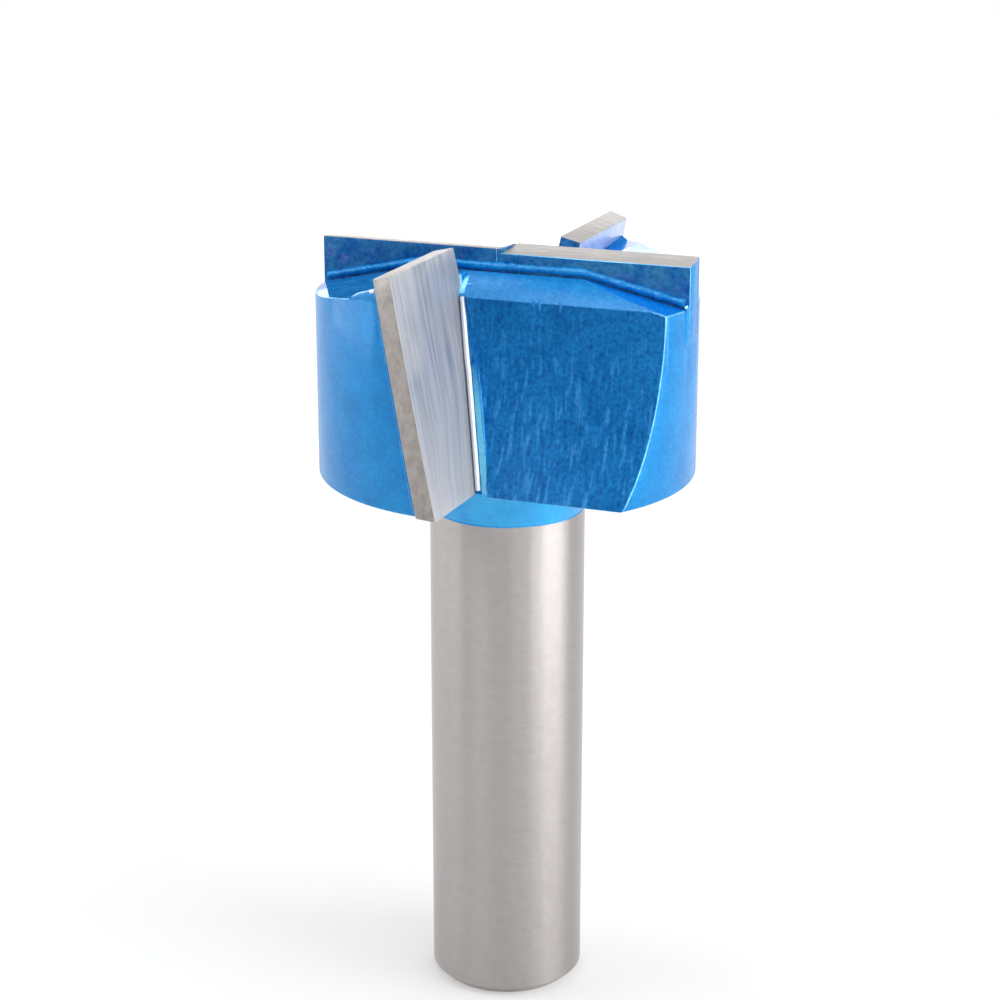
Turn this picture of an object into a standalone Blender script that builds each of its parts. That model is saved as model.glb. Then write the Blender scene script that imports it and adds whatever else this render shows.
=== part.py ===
# Surfacing router bit with two side tips and two end tips, modelled standing on the end of its shank.
# Metres, +Z up. The origin is the centre of the shank's flat end. The end tips lie along X, and the side
# tips stand on the -Y and +Y sides. Seen from above, the bit turns anticlockwise.

import math

import bmesh
import bpy
from mathutils import Matrix, Vector

MM = 0.001

# Shank and neck
shank_diameter = 12.7 * MM
shank_length = 45.0 * MM
shank_chamfer = 0.7 * MM
painted_neck = 3.2 * MM
neck_fillet = 0.8 * MM

# Head: a round block with a crown that is flat in the middle and falls away to both sides
cutting_diameter = 31.75 * MM
side_tip_stands_proud = 0.6 * MM
crown_height = 16.35 * MM
crown_flat_width = 13.6 * MM
crown_slope = math.radians(12.3)
rim_bevel = 0.15 * MM

# Side tips: the rake face passes behind the axis, leans by the shear angle and turns by the twist angle
side_tip_rise = 2.15 * MM
side_tip_thickness = 1.75 * MM
side_tip_top_relief = math.radians(13.0)
side_tip_flank_relief = math.radians(8.0)
rake_offset = 2.65 * MM
rake_twist = math.radians(2.0)
rake_shear = math.radians(11.2)

# Disc cutter that mills the side tips' seats and the gullets. Its centre passes near the crown, so both
# floors curve outwards towards the shank.
disc_radius = 31.5 * MM
disc_height_in_head = 15.4 * MM
seat_depth_from_axis = 3.25 * MM
gullet_depth_from_axis = 4.7 * MM
groove_width_top = 0.75 * MM
groove_width_bottom = 1.12 * MM

# Land that falls from the end tips to the gullet
land_slope = math.radians(24.5)

# End tips: two plates that meet in one slot across the head
end_tip_thickness = 2.5 * MM
end_tip_rise = 1.85 * MM
end_tip_stands_proud = 0.17 * MM
end_tip_relief = math.radians(9.0)
end_tip_seat_depth = 4.35 * MM
end_tip_inner_slant = math.radians(13.0)

# Room for brazing alloy around every tip
braze_gap = 0.3 * MM

# Fineness of the round and curved shapes
turned_steps = 96
disc_floor_rows = 14
tip_rows = 12
fillet_steps = 4

# Values that follow from the sizes above
shank_radius = shank_diameter / 2
cutting_radius = cutting_diameter / 2
head_radius = cutting_radius - side_tip_stands_proud
crown_z = shank_length + crown_height
disc_centre_z = shank_length + disc_height_in_head
side_tip_top = crown_z + side_tip_rise
side_tip_back = -side_tip_thickness / math.cos(rake_shear)
end_tip_edge_z = crown_z + end_tip_rise
end_tip_half = end_tip_thickness / 2
slot_half_width = end_tip_half + braze_gap

# Reach of the cutters, clear of the part on every side
above = side_tip_top + 5 * MM
below = shank_length - 2 * MM
outside = cutting_radius + 5 * MM

near_side = Matrix.Identity(4)
far_side = Matrix.Rotation(math.pi, 4, "Z")


def clear_scene():
    for thing in list(bpy.data.objects):
        bpy.data.objects.remove(thing, do_unlink=True)


def principled(name, colour, roughness, metallic):
    material = bpy.data.materials.new(name)
    material.use_nodes = True
    shader = material.node_tree.nodes["Principled BSDF"]
    shader.inputs["Base Color"].default_value = (*colour, 1.0)
    shader.inputs["Roughness"].default_value = roughness
    shader.inputs["Metallic"].default_value = metallic
    return material


def make_object(name, bm, materials=(), turn=near_side):
    bmesh.ops.recalc_face_normals(bm, faces=bm.faces)
    mesh = bpy.data.meshes.new(name)
    bm.to_mesh(mesh)
    bm.free()
    for material in materials:
        mesh.materials.append(material)
    thing = bpy.data.objects.new(name, mesh)
    thing.matrix_world = turn
    bpy.context.collection.objects.link(thing)
    return thing


def make_cutter(name, bm, turn=near_side):
    cutter = make_object(name, bm, turn=turn)
    cutter.hide_render = True
    cutter.display_type = "WIRE"
    return cutter


# A prism between two copies of an outline. Each end is placed by its own function of an outline point.
def prism(outline, place_start, place_end):
    bm = bmesh.new()
    start = bm.faces.new([bm.verts.new(place_start(*point)) for point in outline])
    extruded = bmesh.ops.extrude_face_region(bm, geom=[start])["geom"]
    far_verts = [item for item in extruded if isinstance(item, bmesh.types.BMVert)]
    for vert, point in zip(far_verts, outline):
        vert.co = place_end(*point)
    return bm


def cut(target, tool):
    modifier = target.modifiers.new(tool.name, "BOOLEAN")
    modifier.operation = "DIFFERENCE"
    modifier.solver = "EXACT"
    modifier.object = tool


# The near side tip's rake plane. At each height it holds a level line, which runs outwards past the axis.
outward = Vector((-math.sin(rake_twist), -math.cos(rake_twist), 0.0))
forward = Vector((math.cos(rake_twist), -math.sin(rake_twist), 0.0))


def rake_line_offset(z):
    return (crown_z - z) * math.tan(rake_shear) - rake_offset


def beside_rake(distance_out, z, ahead=0.0):
    return outward * distance_out + forward * (rake_line_offset(z) + ahead) + Vector((0.0, 0.0, z))


# Distance from the axis of a floor milled by the disc cutter, which leans with the rake plane or stands up
def disc_floor(depth_from_axis, z, lean=0.0):
    drop = (disc_centre_z - z) / math.cos(lean)
    drop = max(-disc_radius, min(disc_radius, drop))
    return depth_from_axis + disc_radius - math.sqrt(disc_radius ** 2 - drop ** 2)


def disc_floor_outline(depth_from_axis, top_z, lean=0.0):
    heights = [top_z + (below - top_z) * row / disc_floor_rows for row in range(disc_floor_rows + 1)]
    return [(disc_floor(depth_from_axis, z, lean), z) for z in heights]


# The steel bar as it leaves the lathe: shank, painted neck and head in one
def turned_blank(materials):
    paint_z = shank_length - painted_neck
    profile = [
        (0.0, 0.0),
        (shank_radius - shank_chamfer, 0.0),
        (shank_radius, shank_chamfer),
        (shank_radius, paint_z),
    ]
    for step in range(fillet_steps + 1):
        angle = math.pi / 2 * step / fillet_steps
        profile.append((shank_radius + neck_fillet * (1 - math.cos(angle)),
                        shank_length - neck_fillet * (1 - math.sin(angle))))
    profile += [(head_radius, shank_length), (head_radius, above), (0.0, above)]

    bm = bmesh.new()
    verts = [bm.verts.new((radius, 0.0, z)) for radius, z in profile]
    edges = [bm.edges.new(pair) for pair in zip(verts, verts[1:])]
    bmesh.ops.spin(bm, geom=verts + edges, cent=(0, 0, 0), axis=(0, 0, 1), angle=math.tau,
                   steps=turned_steps, use_merge=True)
    bmesh.ops.remove_doubles(bm, verts=bm.verts, dist=0.001 * MM)
    for face in bm.faces:
        face.material_index = 1 if face.calc_center_median().z < paint_z else 0
    return make_object("body", bm, materials)


def crown_cutter():
    half_flat = crown_flat_width / 2
    end_z = crown_z - (outside - half_flat) * math.tan(crown_slope)
    outline = [(-outside, above + MM), (-outside, end_z), (-half_flat, crown_z),
               (half_flat, crown_z), (outside, end_z), (outside, above + MM)]
    return make_cutter("crown_cutter", prism(outline, lambda x, z: (x, -outside, z),
                                             lambda x, z: (x, outside, z)))


# The gullet and the sloping land above it, bounded on one side by the rake plane
def gullet_cutter(name, turn):
    def land_z(distance):
        return crown_z - (distance - slot_half_width) * math.tan(land_slope)

    def on_rake_plane(distance, z):
        ahead = (rake_line_offset(z) - distance * math.sin(rake_twist)) / math.cos(rake_twist)
        return Vector((ahead, -distance, z))

    outline = [(end_tip_half, above), (end_tip_half, land_z(end_tip_half))]
    outline += disc_floor_outline(gullet_depth_from_axis, land_z(gullet_depth_from_axis))
    outline += [(outside, below), (outside, above)]
    return make_cutter(name, prism(outline, on_rake_plane,
                                   lambda distance, z: Vector((outside, -distance, z))), turn)


# The side tip's seat: the disc's slot, which leaves a groove ahead of the tip that widens towards the shank
def seat_cutter(name, turn):
    def groove_side(distance, z):
        share = (side_tip_top - z) / (side_tip_top - shank_length)
        return beside_rake(distance, z, groove_width_top + (groove_width_bottom - groove_width_top) * share)

    outline = [(outside, above), (seat_depth_from_axis, above)]
    outline += disc_floor_outline(seat_depth_from_axis, disc_centre_z, rake_shear)
    outline += [(outside, below)]

    def behind_tip(distance, z):
        return beside_rake(distance, z, side_tip_back - braze_gap)

    return make_cutter(name, prism(outline, behind_tip, groove_side), turn)


def slot_cutter():
    floor_z = crown_z - end_tip_seat_depth - braze_gap
    outline = [(-slot_half_width, floor_z), (slot_half_width, floor_z),
               (slot_half_width, above), (-slot_half_width, above)]
    return make_cutter("slot_cutter", prism(outline, lambda y, z: (-outside, y, z),
                                            lambda y, z: (outside, y, z)))


def make_body(materials):
    body = turned_blank(materials)
    cut(body, crown_cutter())
    bevel = body.modifiers.new("rim", "BEVEL")
    bevel.width = rim_bevel
    bevel.segments = 2
    bevel.limit_method = "ANGLE"
    bevel.angle_limit = math.radians(60)
    for side, turn in (("near", near_side), ("far", far_side)):
        cut(body, gullet_cutter("gullet_" + side, turn))
        cut(body, seat_cutter("seat_" + side, turn))
    cut(body, slot_cutter())
    return body


# A side tip is lofted through rows, so that its edge keeps to the cutting circle at every height
def side_tip(name, material, turn):
    relief_fall = side_tip_thickness * math.tan(side_tip_top_relief)
    flank_step = side_tip_thickness * math.tan(side_tip_flank_relief)

    def cutting_circle(z, ahead):
        return math.sqrt(cutting_radius ** 2 - (rake_line_offset(z) + ahead) ** 2)

    def flank_back(z, ahead):
        return cutting_circle(z, ahead) - flank_step

    def inner_edge(z, ahead):
        return disc_floor(seat_depth_from_axis, z, rake_shear) + braze_gap

    # Each corner's place ahead of the rake plane, its distance from the axis, and how far its top falls
    corners = [(0.0, cutting_circle, 0.0), (side_tip_back, flank_back, relief_fall),
               (side_tip_back, inner_edge, relief_fall), (0.0, inner_edge, 0.0)]
    bm = bmesh.new()
    rows = []
    for row in range(tip_rows + 1):
        points = []
        for ahead, distance_out, fall in corners:
            z = shank_length + (side_tip_top - fall - shank_length) * row / tip_rows
            points.append(beside_rake(distance_out(z, ahead), z, ahead))
        rows.append([bm.verts.new(point) for point in points])
    for low, high in zip(rows, rows[1:]):
        for side in range(4):
            after = (side + 1) % 4
            bm.faces.new((low[side], low[after], high[after], high[side]))
    bm.faces.new(rows[0])
    bm.faces.new(rows[-1])
    make_object(name, bm, [material], turn)


# An end tip fills its half of the slot. Its edge is on the side that leads, and its top falls behind that.
def end_tip(name, material, turn):
    base_z = crown_z - end_tip_seat_depth
    fall = end_tip_thickness * math.tan(end_tip_relief)
    outer = math.sqrt((head_radius + end_tip_stands_proud) ** 2 - end_tip_half ** 2)
    slant = end_tip_half * math.tan(end_tip_inner_slant)
    inner = braze_gap / 2 / math.cos(end_tip_inner_slant)
    leading, trailing = -end_tip_half, end_tip_half
    plan = [(-outer, leading, end_tip_edge_z), (-outer, trailing, end_tip_edge_z - fall),
            (slant - inner, trailing, end_tip_edge_z - fall), (-slant - inner, leading, end_tip_edge_z)]
    bm = prism(plan, lambda x, y, top_z: (x, y, base_z), lambda x, y, top_z: (x, y, top_z))
    make_object(name, bm, [material], turn)


# The finished body keeps its own mesh, so that its shading follows its real edges
def finish_body(body):
    bpy.context.view_layer.update()
    evaluated = body.evaluated_get(bpy.context.evaluated_depsgraph_get())
    body.data = bpy.data.meshes.new_from_object(evaluated)
    body.modifiers.clear()
    body.data.shade_smooth()
    body.data.set_sharp_from_angle(angle=math.radians(25))
    for thing in list(bpy.data.objects):
        if thing.hide_render:
            bpy.data.objects.remove(thing, do_unlink=True)


def build():
    clear_scene()
    blue_paint = principled("blue_paint", (0.02, 0.17, 0.55), 0.35, 0.2)
    ground_steel = principled("ground_steel", (0.60, 0.58, 0.56), 0.32, 1.0)
    ground_carbide = principled("ground_carbide", (0.52, 0.52, 0.53), 0.38, 0.9)
    painted_carbide = principled("painted_carbide", (0.03, 0.16, 0.42), 0.4, 0.3)
    finish_body(make_body([blue_paint, ground_steel]))
    side_tip("side_tip_near", ground_carbide, near_side)
    side_tip("side_tip_far", ground_carbide, far_side)
    end_tip("end_tip_left", painted_carbide, near_side)
    end_tip("end_tip_right", painted_carbide, far_side)


build()
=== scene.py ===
import math

import bmesh
import bpy
from mathutils import Matrix, Vector


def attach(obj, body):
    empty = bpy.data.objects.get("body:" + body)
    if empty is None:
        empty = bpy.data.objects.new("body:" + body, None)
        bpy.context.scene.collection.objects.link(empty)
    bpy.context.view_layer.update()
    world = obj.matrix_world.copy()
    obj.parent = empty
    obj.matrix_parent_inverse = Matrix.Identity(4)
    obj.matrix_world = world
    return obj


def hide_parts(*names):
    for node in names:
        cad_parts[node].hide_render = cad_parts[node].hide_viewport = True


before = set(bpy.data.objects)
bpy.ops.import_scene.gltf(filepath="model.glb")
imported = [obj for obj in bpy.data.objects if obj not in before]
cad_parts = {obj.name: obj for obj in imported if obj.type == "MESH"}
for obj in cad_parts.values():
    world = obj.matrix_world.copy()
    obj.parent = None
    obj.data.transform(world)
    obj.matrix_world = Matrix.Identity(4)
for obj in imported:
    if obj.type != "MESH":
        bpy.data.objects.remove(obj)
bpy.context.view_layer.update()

mm = 0.001

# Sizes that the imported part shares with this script
bit = {
    "headRadius": 15.275 * mm,
    "headFoot": 45.0 * mm,
    "crown": 61.35 * mm,
    "crownHalfFlat": 6.8 * mm,
    "crownSlope": math.radians(12.3),
    "landSlope": math.radians(24.5),
    "gulletDepth": 4.7 * mm,
    "paintLine": 41.8 * mm,
    "shankRadius": 6.35 * mm,
    "gap": 0.3 * mm,
}

# The near side tip: where its rake face lies and how its seat curves
sideSeat = {
    "rakeOffset": 2.65 * mm,
    "twist": math.radians(2.0),
    "shear": math.radians(11.2),
    "thickness": 1.75 * mm,
    "depth": 3.25 * mm,
    "discRadius": 31.5 * mm,
    "discCentre": 60.4 * mm,
    "tipTop": 63.5 * mm,
    "cuttingRadius": 15.875 * mm,
    "grooveTop": 0.75 * mm,
    "grooveFoot": 1.12 * mm,
}

endPlate = {
    "half": 1.25 * mm,
    "foot": 57.0 * mm,
    "slant": math.radians(13.0),
    "top": 63.2 * mm,
    "bareStrip": 0.27 * mm,
}

halfTurn = Matrix.Rotation(math.pi, 4, "Z")
sameWay = Matrix.Identity(4)
bothSides = (("near", sameWay), ("far", halfTurn))
outward = Vector((-math.sin(sideSeat["twist"]), -math.cos(sideSeat["twist"]), 0.0))
forward = Vector((math.cos(sideSeat["twist"]), -math.sin(sideSeat["twist"]), 0.0))
tipBack = -sideSeat["thickness"] / math.cos(sideSeat["shear"])


def rakeLine(z):
    return (bit["crown"] - z) * math.tan(sideSeat["shear"]) - sideSeat["rakeOffset"]


def besideRake(distance, z, ahead=0.0):
    return outward * distance + forward * (rakeLine(z) + ahead) + Vector((0.0, 0.0, z))


def aheadOfRake(point):
    return point.dot(forward) - rakeLine(point.z)


def seatFloor(z):
    drop = (sideSeat["discCentre"] - z) / math.cos(sideSeat["shear"])
    return sideSeat["depth"] + sideSeat["discRadius"] - math.sqrt(sideSeat["discRadius"] ** 2 - drop ** 2)


def grooveWidth(z):
    share = (sideSeat["tipTop"] - z) / (sideSeat["tipTop"] - bit["headFoot"])
    return sideSeat["grooveTop"] + (sideSeat["grooveFoot"] - sideSeat["grooveTop"]) * share


def headSurface(z, ahead):
    return math.sqrt(bit["headRadius"] ** 2 - (rakeLine(z) + ahead) ** 2)


def crownAt(x):
    return bit["crown"] - max(0.0, abs(x) - bit["crownHalfFlat"]) * math.tan(bit["crownSlope"])


# Height of the sloping land at a distance from the middle plane, on the near side
def landAt(distance):
    return bit["crown"] - (distance - endPlate["half"] - bit["gap"]) * math.tan(bit["landSlope"])


def steps(start, end, count):
    return [start + (end - start) * i / (count - 1) for i in range(count)]


def eased(share):
    share = min(1.0, max(0.0, share))
    return share * share * (3.0 - 2.0 * share)


# Shader node helpers
def addNode(tree, kind, **settings):
    node = tree.nodes.new(kind)
    for name, value in settings.items():
        setattr(node, name, value)
    return node


def newGroup(name, inputs, outputs):
    group = bpy.data.node_groups.new(name, "ShaderNodeTree")
    for label, kind, value in inputs:
        socket = group.interface.new_socket(label, in_out="INPUT", socket_type=kind)
        if value is not None:
            socket.default_value = value
    for label, kind in outputs:
        group.interface.new_socket(label, in_out="OUTPUT", socket_type=kind)
    return group, addNode(group, "NodeGroupInput"), addNode(group, "NodeGroupOutput")


# Sprayed paint: a fine grain all over and soft clouds of thicker and thinner coat
def makeGrainGroup():
    group, start, end = newGroup(
        "sprayGrain",
        [("Vector", "NodeSocketVector", None), ("Grain Scale", "NodeSocketFloat", 3300.0),
         ("Cloud Scale", "NodeSocketFloat", 420.0)],
        [("Grain", "NodeSocketFloat"), ("Cloud", "NodeSocketFloat")])
    for label, source, detail in (("Grain", "Grain Scale", 2.0), ("Cloud", "Cloud Scale", 3.0)):
        noise = addNode(group, "ShaderNodeTexNoise")
        noise.inputs["Detail"].default_value = detail
        group.links.new(start.outputs["Vector"], noise.inputs["Vector"])
        group.links.new(start.outputs[source], noise.inputs["Scale"])
        group.links.new(noise.outputs["Fac"], end.inputs[label])
    return group


# Marks of a cutter or a grinding wheel: noise drawn out along one direction, between two levels
def makeMarksGroup():
    group, start, end = newGroup(
        "toolMarks",
        [("Vector", "NodeSocketVector", None), ("Stretch", "NodeSocketVector", (1.0, 1.0, 1.0)),
         ("Low", "NodeSocketFloat", 0.45), ("High", "NodeSocketFloat", 0.62),
         ("Wander", "NodeSocketFloat", 0.3)],
        [("Marks", "NodeSocketFloat")])
    scaled = addNode(group, "ShaderNodeVectorMath", operation="MULTIPLY")
    noise = addNode(group, "ShaderNodeTexNoise")
    noise.inputs["Scale"].default_value = 1.0
    noise.inputs["Detail"].default_value = 3.0
    levels = addNode(group, "ShaderNodeMapRange", interpolation_type="SMOOTHSTEP")
    group.links.new(start.outputs["Vector"], scaled.inputs[0])
    group.links.new(start.outputs["Stretch"], scaled.inputs[1])
    group.links.new(scaled.outputs["Vector"], noise.inputs["Vector"])
    group.links.new(start.outputs["Wander"], noise.inputs["Distortion"])
    group.links.new(noise.outputs["Fac"], levels.inputs["Value"])
    group.links.new(start.outputs["Low"], levels.inputs["From Min"])
    group.links.new(start.outputs["High"], levels.inputs["From Max"])
    group.links.new(levels.outputs["Result"], end.inputs["Marks"])
    return group


sprayGrain = makeGrainGroup()
toolMarks = makeMarksGroup()


def newMaterial(name, look):
    material = bpy.data.materials.new(name)
    material.use_nodes = True
    shader = material.node_tree.nodes["Principled BSDF"]
    shader.inputs["Roughness"].default_value = look["rough"]
    shader.inputs["Metallic"].default_value = look["metal"]
    shader.inputs["Specular IOR Level"].default_value = look.get("specular", 0.0)
    shader.inputs["Coat Weight"].default_value = look.get("coat", 0.0)
    shader.inputs["Coat Roughness"].default_value = look.get("coatRough", 0.1)
    shader.inputs["Anisotropic"].default_value = look.get("anisotropic", 0.0)
    shader.inputs["Anisotropic Rotation"].default_value = look.get("turn", 0.0)
    return material, material.node_tree, shader


def placed(tree, group, vector, **values):
    node = addNode(tree, "ShaderNodeGroup", node_tree=group)
    tree.links.new(vector, node.inputs["Vector"])
    for label, value in values.items():
        node.inputs[label].default_value = value
    return node


def mixColours(tree, factor, low, high):
    mix = addNode(tree, "ShaderNodeMix", data_type="RGBA")
    tree.links.new(factor, mix.inputs[0])
    for socket, colour in ((mix.inputs[6], low), (mix.inputs[7], high)):
        if isinstance(colour, tuple):
            socket.default_value = (*colour, 1.0)
        else:
            tree.links.new(colour, socket)
    return mix.outputs[2]


def ranged(tree, value, low, high, start=0.0, end=1.0):
    node = addNode(tree, "ShaderNodeMapRange")
    tree.links.new(value, node.inputs["Value"])
    node.inputs["From Min"].default_value = start
    node.inputs["From Max"].default_value = end
    node.inputs["To Min"].default_value = low
    node.inputs["To Max"].default_value = high
    return node.outputs["Result"]


def together(tree, operation, first, second):
    node = addNode(tree, "ShaderNodeMath", operation=operation)
    for socket, value in zip(node.inputs, (first, second)):
        if isinstance(value, float):
            socket.default_value = value
        else:
            tree.links.new(value, socket)
    return node.outputs[0]


def bumped(tree, shader, height, distance):
    bump = addNode(tree, "ShaderNodeBump")
    bump.inputs["Distance"].default_value = distance
    tree.links.new(height, bump.inputs["Height"])
    tree.links.new(bump.outputs["Normal"], shader.inputs["Normal"])


# How the spray's clouds and grain are read, and the share of its marks that is left high up
spray = {"cloud": (0.36, 0.64), "grain": (0.25, 0.75), "roughSwing": 0.06, "leastMarks": 0.15}


def heightOf(tree, where):
    split = addNode(tree, "ShaderNodeSeparateXYZ")
    tree.links.new(where, split.inputs[0])
    return split.outputs["Z"]


# Lays the spray's fine grain over a colour
def speckled(tree, shader, colour, grain, mottle):
    speckle = addNode(tree, "ShaderNodeMix", data_type="RGBA", blend_type="SOFT_LIGHT")
    speckle.inputs[0].default_value = mottle
    tree.links.new(colour, speckle.inputs[6])
    tree.links.new(ranged(tree, grain.outputs["Grain"], 0.0, 1.0, *spray["grain"]), speckle.inputs[7])
    tree.links.new(speckle.outputs[2], shader.inputs["Base Color"])


def roughened(tree, shader, mask, rough, swing):
    tree.links.new(ranged(tree, mask, rough - swing, rough + swing), shader.inputs["Roughness"])


# One mask with a share of another in it
def blended(tree, share, mask, other):
    mix = addNode(tree, "ShaderNodeMix")
    mix.inputs[0].default_value = share
    tree.links.new(mask, mix.inputs[2])
    tree.links.new(other, mix.inputs[3])
    return mix.outputs[0]


# What most paint finishes share
commonPaint = {"mottle": 0.5, "lightShare": 0.3, "stretch": (900, 900, 900), "low": 0.5, "high": 0.7,
               "dark": (0.002, 0.150, 0.580), "darkShare": 0.3}

# Each paint finish: its two colours, its light and dark marks, its mottle and its gloss
paintLooks = {
    "paintTurned": {"thin": (0.006, 0.295, 0.740), "thick": (0.003, 0.245, 0.660), "mottle": 0.25,
                    "light": (0.020, 0.340, 0.780), "lightShare": 0.25, "stretch": (420, 420, 2400),
                    "high": 0.72, "darkShare": 0.0,
                    "rough": 0.36, "metal": 0.15, "coat": 0.55, "coatRough": 0.12, "bump": 0.003 * mm},
    # The neck's paint is lighter: thinner paint over the steel, and a painted reflection of the pale floor
    "paintNeck": {"thin": (0.020, 0.440, 0.870), "thick": (0.012, 0.380, 0.810), "mottle": 0.2,
                  "light": (0.06, 0.52, 0.92), "stretch": (420, 420, 2400), "high": 0.72, "darkShare": 0.0,
                  "rough": 0.34, "metal": 0.35, "coat": 1.0, "coatRough": 0.12, "bump": 0.004 * mm},
    "paintMilled": {"thin": (0.010, 0.190, 0.530), "thick": (0.006, 0.155, 0.460), "mottle": 0.45,
                    "light": (0.050, 0.310, 0.740), "lightShare": 0.75, "stretch": (3000, 400, 480),
                    "low": 0.53, "high": 0.68, "dark": (0.003, 0.095, 0.330), "darkShare": 0.6,
                    "marksFrom": 60 * mm, "marksFull": 51 * mm,
                    "rough": 0.42, "metal": 0.10, "coat": 0.10, "coatRough": 0.3, "bump": 0.010 * mm},
    "paintLand": {"thin": (0.006, 0.285, 0.740), "thick": (0.003, 0.255, 0.690), "mottle": 0.4,
                  "light": (0.040, 0.370, 0.840), "stretch": (1800, 420, 420), "high": 0.68,
                  "dark": (0.003, 0.200, 0.560), "darkShare": 0.15,
                  "rough": 0.42, "metal": 0.05, "coat": 0.8, "coatRough": 0.42, "bump": 0.004 * mm},
    "paintCrown": {"thin": (0.004, 0.240, 0.840), "thick": (0.002, 0.210, 0.780),
                   "light": (0.010, 0.280, 0.88), "stretch": (700, 2600, 700),
                   "rough": 0.24, "metal": 0.10, "coat": 0.8, "coatRough": 0.09, "bump": 0.003 * mm},
    # Darker and matt: a painted reflection of the end tip's blue face, on the mound and the crown beside it
    "paintPlateReflection": {"thin": (0.020, 0.200, 0.530), "thick": (0.012, 0.160, 0.460),
                   "light": (0.020, 0.24, 0.62), "dark": (0.003, 0.090, 0.340),
                   "rough": 0.60, "metal": 0.0, "coat": 0.0, "coatRough": 0.4, "bump": 0.006 * mm},
    # Bright cyan: a painted highlight, on the toe of the groove and a speck at the slot
    "paintHighlight": {"thin": (0.280, 0.760, 1.000), "thick": (0.200, 0.680, 1.000), "mottle": 0.3,
                    "light": (0.60, 0.93, 1.0), "lightShare": 0.5, "stretch": (1500, 1500, 300),
                    "dark": (0.12, 0.52, 0.95), "darkShare": 0.2,
                    "rough": 0.30, "metal": 0.5, "coat": 0.6, "coatRough": 0.15, "bump": 0.003 * mm},
    # The groove's lower floor: dark paint with cyan marks that are a painted highlight
    "paintStripHighlight": {"thin": (0.012, 0.230, 0.600), "thick": (0.008, 0.190, 0.540), "mottle": 0.3,
                   "light": (0.200, 0.740, 1.000), "lightShare": 0.9, "stretch": (1500, 1500, 300),
                   "low": 0.10, "high": 0.40, "darkShare": 0.0,
                   "marksFrom": 54.6 * mm, "marksFull": 51.5 * mm,
                   "rough": 0.30, "metal": 0.5, "coat": 0.6, "coatRough": 0.15, "bump": 0.003 * mm},
    "paintEdge": {"thin": (0.120, 0.500, 0.880), "thick": (0.040, 0.380, 0.800),
                  "light": (0.30, 0.66, 0.92), "lightShare": 0.4, "dark": (0.010, 0.27, 0.66),
                  "rough": 0.24, "metal": 0.4, "coat": 1.0, "coatRough": 0.1, "bump": 0.002 * mm},
    # Pale lavender blue: a painted reflection on the backs of the side tips
    "paintBackReflection": {"thin": (0.480, 0.580, 0.830), "thick": (0.400, 0.530, 0.810), "mottle": 0.4,
                  "light": (0.58, 0.65, 0.86), "lightShare": 0.4, "dark": (0.120, 0.320, 0.700),
                  "rough": 0.28, "metal": 0.4, "coat": 1.0, "coatRough": 0.15, "bump": 0.003 * mm},
}


def makePaint(name):
    look = {**commonPaint, **paintLooks[name]}
    material, tree, shader = newMaterial(name, look)
    where = addNode(tree, "ShaderNodeTexCoord").outputs["Object"]
    grain = placed(tree, sprayGrain, where)
    lines = placed(tree, toolMarks, where, Stretch=look["stretch"], Low=look["low"], High=look["high"])
    # The dark marks lie beside the light ones, because they come from the same noise's other end. Together
    # they are painted light and shade along the tool marks.
    shade = placed(tree, toolMarks, where, Stretch=look["stretch"], Low=1.0 - look["low"],
                   High=1.0 - look["high"])
    light, dark = lines.outputs["Marks"], shade.outputs["Marks"]
    if "marksFrom" in look:
        height = heightOf(tree, where)
        depth = ranged(tree, height, spray["leastMarks"], 1.0, look["marksFrom"], look["marksFull"])
        light, dark = together(tree, "MULTIPLY", light, depth), together(tree, "MULTIPLY", dark, depth)
    clouds = ranged(tree, grain.outputs["Cloud"], 0.0, 1.0, *spray["cloud"])
    coat = mixColours(tree, clouds, look["thin"], look["thick"])
    darkened = mixColours(tree, together(tree, "MULTIPLY", dark, look["darkShare"]), coat, look["dark"])
    marked = mixColours(tree, together(tree, "MULTIPLY", light, look["lightShare"]), darkened, look["light"])
    speckled(tree, shader, marked, grain, look["mottle"])
    roughened(tree, shader, grain.outputs["Cloud"], look["rough"], spray["roughSwing"])
    bumped(tree, shader, together(tree, "ADD", lines.outputs["Marks"], grain.outputs["Grain"]), look["bump"])
    return material


# Thin paint over carbide: blue, with teal and violet where the coat thins
tipPaint = {"deep": (0.009, 0.125, 0.400), "teal": (0.034, 0.205, 0.430), "violet": (0.090, 0.160, 0.540),
            "patchScale": 620.0, "violetScale": 1300.0, "shadeScale": 2400.0, "cloudScale": 240.0,
            "spotShare": 0.8, "spotRange": (0.52, 0.70), "leastSpots": 0.3, "spotClouds": (0.4, 0.6),
            "mottle": 0.5, "rough": 0.40, "metal": 0.20, "coat": 0.12, "coatRough": 0.2, "bump": 0.010 * mm}


def makeTipPaint():
    material, tree, shader = newMaterial("paintOnCarbide", tipPaint)
    where = addNode(tree, "ShaderNodeTexCoord").outputs["Object"]
    patches = placed(tree, sprayGrain, where, **{"Cloud Scale": tipPaint["patchScale"],
                                                 "Grain Scale": tipPaint["shadeScale"]})
    stains = placed(tree, sprayGrain, where, **{"Cloud Scale": tipPaint["cloudScale"],
                                                "Grain Scale": tipPaint["violetScale"]})
    clouds = ranged(tree, patches.outputs["Cloud"], 0.0, 1.0, *spray["cloud"])
    first = mixColours(tree, clouds, tipPaint["deep"], tipPaint["teal"])
    small = ranged(tree, stains.outputs["Grain"], 0.0, tipPaint["spotShare"], *tipPaint["spotRange"])
    large = ranged(tree, stains.outputs["Cloud"], tipPaint["leastSpots"], 1.0, *tipPaint["spotClouds"])
    second = mixColours(tree, together(tree, "MULTIPLY", small, large), first, tipPaint["violet"])
    speckled(tree, shader, second, patches, tipPaint["mottle"])
    bumped(tree, shader, patches.outputs["Grain"], tipPaint["bump"])
    return material


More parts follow.
